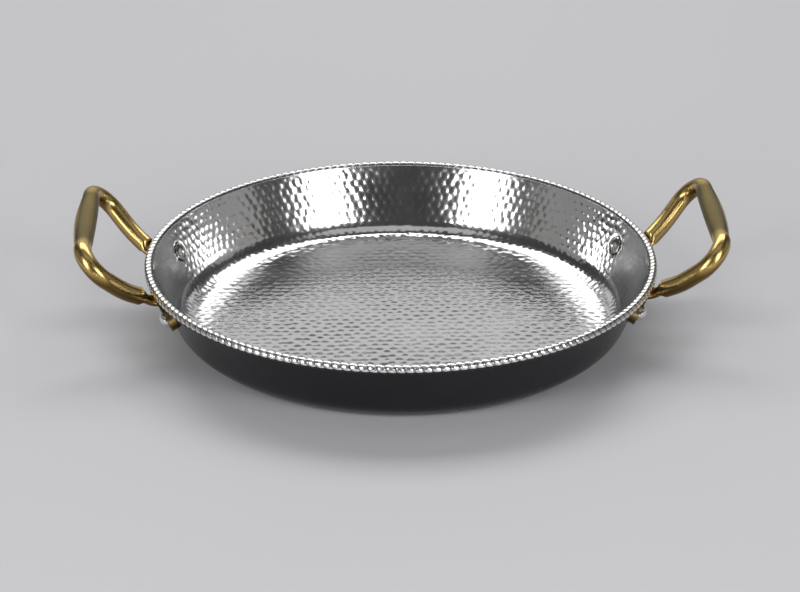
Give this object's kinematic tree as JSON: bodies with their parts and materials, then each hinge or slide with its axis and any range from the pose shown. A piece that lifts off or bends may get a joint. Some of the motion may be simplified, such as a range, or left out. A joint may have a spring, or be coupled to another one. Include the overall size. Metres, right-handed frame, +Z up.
{
  "type": "shallow two-handled cooking pan",
  "caption": "Shallow round cooking pan with a flat floor, flared hammered wall, roped rolled rim, and looped rod handles riveted on opposite sides.",
  "frame": {"origin": "middle of the flat underside, on the table", "axes": "+X through the middle of one handle, +Z up out of the pan, +Y to the back"},
  "size_m": [0.3282, 0.26, 0.0615],
  "materials": {
    "hammered_steel": "hammered inside, polished outside",
    "brass_rod": "satin gold, glossier on the legs",
    "rivet_steel": "polished domed heads"
  },
  "bodies": {
    "root": {"pan_shell": "hammered_steel", "handle_left": "brass_rod", "handle_right": "brass_rod", "rivet_left_front": "rivet_steel", "rivet_left_back": "rivet_steel", "rivet_right_front": "rivet_steel", "rivet_right_back": "rivet_steel"}
  },
  "joints": []
}
